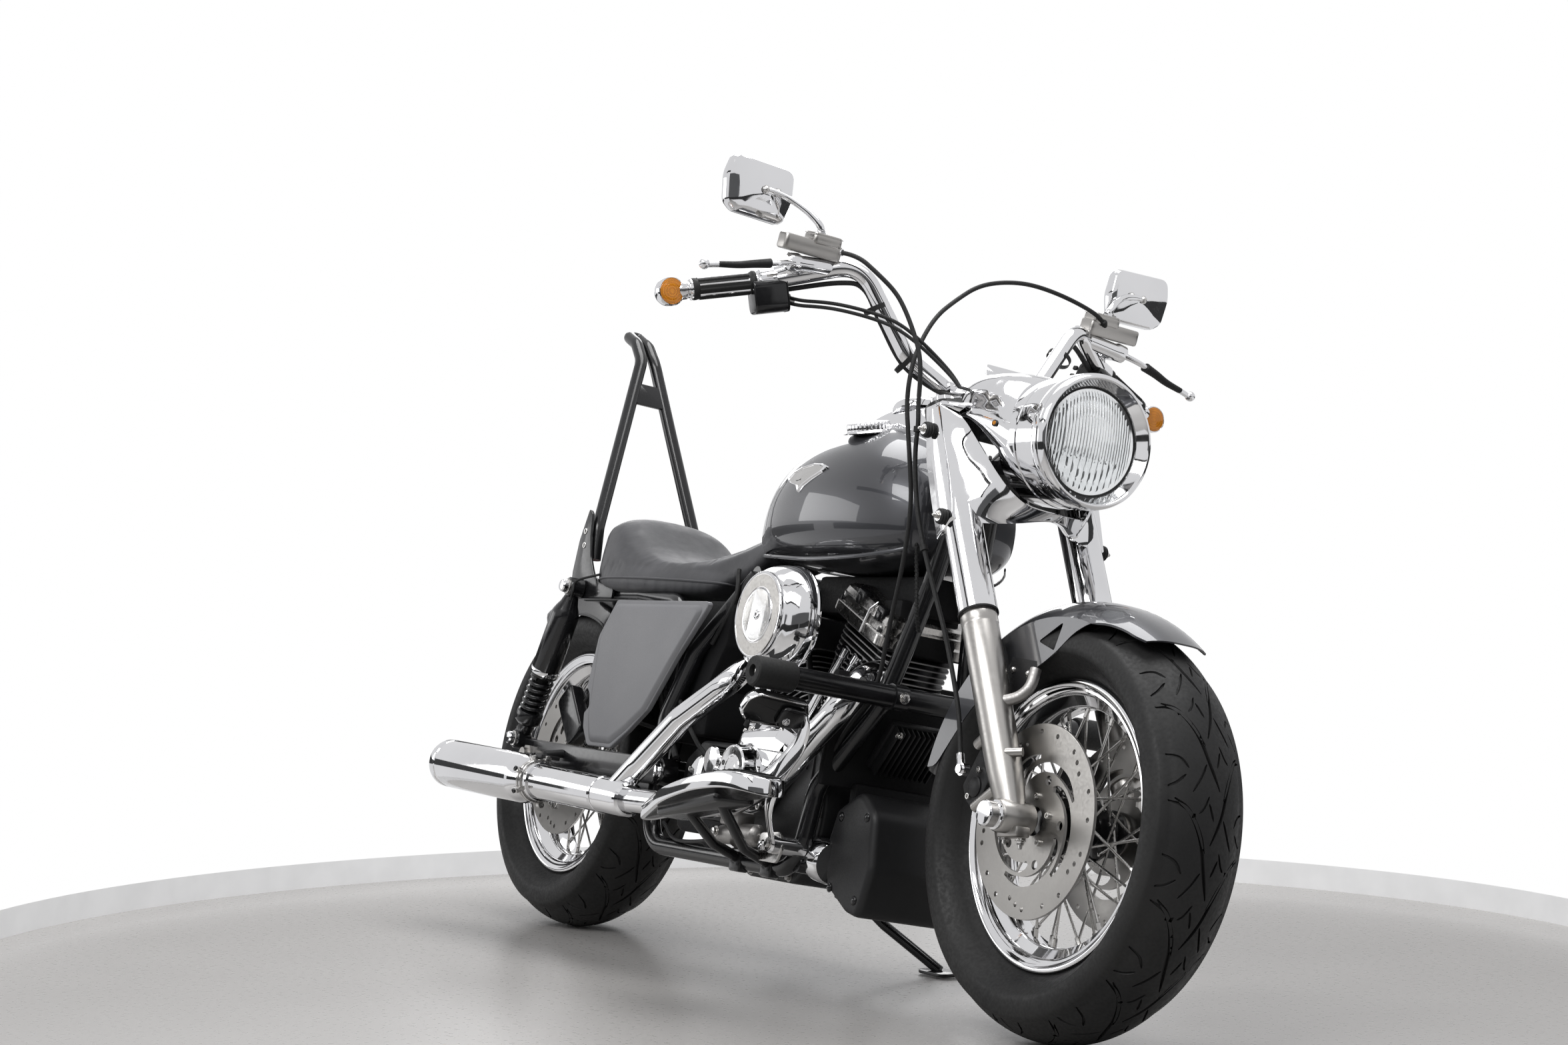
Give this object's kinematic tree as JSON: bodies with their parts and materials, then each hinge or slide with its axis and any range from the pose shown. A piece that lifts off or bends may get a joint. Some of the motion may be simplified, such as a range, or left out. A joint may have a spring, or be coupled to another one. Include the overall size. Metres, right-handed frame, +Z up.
{
  "type": "touring motorcycle",
  "caption": "Twin-cylinder touring motorcycle leaning on its side stand, with a tall handlebar, solo seat, sissy bar and spoked wheels that roll and steer.",
  "frame": {"origin": "on the floor, under the middle of the whole machine's bounding box", "axes": "+X forward along the motorcycle, +Y to its left, +Z up; the motorcycle leans to its left on its side stand"},
  "size_m": [2.2518, 1.031, 1.3869],
  "materials": {
    "alloy": "brushed",
    "amber": "translucent amber",
    "black_frame": "gloss black",
    "chrome": "polished",
    "engine_black": "satin black",
    "grey_paint": "gloss charcoal",
    "leather": "grained",
    "lens": "clear",
    "plate_white": "matt white",
    "red": "translucent red",
    "rotor_steel": "ground",
    "rubber": "matt",
    "satin_grey": "satin grey",
    "tyre": "rubber"
  },
  "bodies": {
    "chassis": {"air_cleaner": "chrome", "chin_cover": "black_frame", "cylinders": "engine_black", "drive_belt": "rubber", "engine_case": "engine_black", "engine_guard": "black_frame", "exhaust_headers": "chrome", "foot_controls": "chrome", "footboards": "rubber", "frame": "black_frame", "fuel_caps": "chrome", "fuel_tank": "grey_paint", "instrument_console": "chrome", "licence_plate": "plate_white", "muffler": "chrome", "primary_cover": "chrome", "pushrod_tubes": "chrome", "rear_axle": "alloy", "rear_caliper": "engine_black", "rear_fender": "grey_paint", "regulator": "engine_black", "rocker_covers": "chrome", "seat": "leather", "shock_absorbers": "black_frame", "side_covers": "satin_grey", "sissy_bar": "black_frame", "sissy_bar_plates": "black_frame", "stand_bracket": "black_frame", "swingarm": "black_frame", "tail_lamp": "red", "timing_cover": "chrome"},
    "steering": {"bar_end_signals": "amber", "control_cables": "rubber", "fork_clamps": "black_frame", "fork_covers": "chrome", "fork_sliders": "alloy", "fork_tubes": "chrome", "front_axle": "chrome", "front_calipers": "engine_black", "front_fender": "grey_paint", "grips": "rubber", "hand_controls": "alloy", "handlebar": "chrome", "headlamp": "chrome", "headlamp_lens": "lens", "mirrors": "chrome", "nacelle": "chrome"},
    "front_wheel": {"front_tyre": "tyre", "front_rim": "chrome", "front_rotors": "rotor_steel"},
    "rear_wheel": {"rear_tyre": "tyre", "rear_rim": "chrome", "rear_rotor": "rotor_steel", "rear_pulley": "alloy"},
    "side_stand": {"side_stand": "black_frame"}
  },
  "joints": [
    {"name": "steering_turn", "type": "hinge", "parent": "chassis", "child": "steering", "pos_m": [0.51624, -0.0307, 0.89985], "axis": [-0.4384, 0.1629, 0.8839], "range_deg": [-32, 32], "deforming": ["control_cables"]},
    {"name": "front_wheel_spin", "type": "hinge", "parent": "steering", "child": "front_wheel", "pos_m": [0.80545, -0.13815, 0.31671], "axis": [0, 0.9834, -0.1812], "continuous": true},
    {"name": "rear_wheel_spin", "type": "hinge", "parent": "chassis", "child": "rear_wheel", "pos_m": [-0.80755, -0.13851, 0.31473], "axis": [0, 0.9834, -0.1812], "continuous": true},
    {"name": "side_stand_fold", "type": "hinge", "parent": "chassis", "child": "side_stand", "pos_m": [0.00045, -0.02822, 0.12965], "axis": [0, 0.9834, -0.1812], "range_deg": [0, 85]}
  ]
}
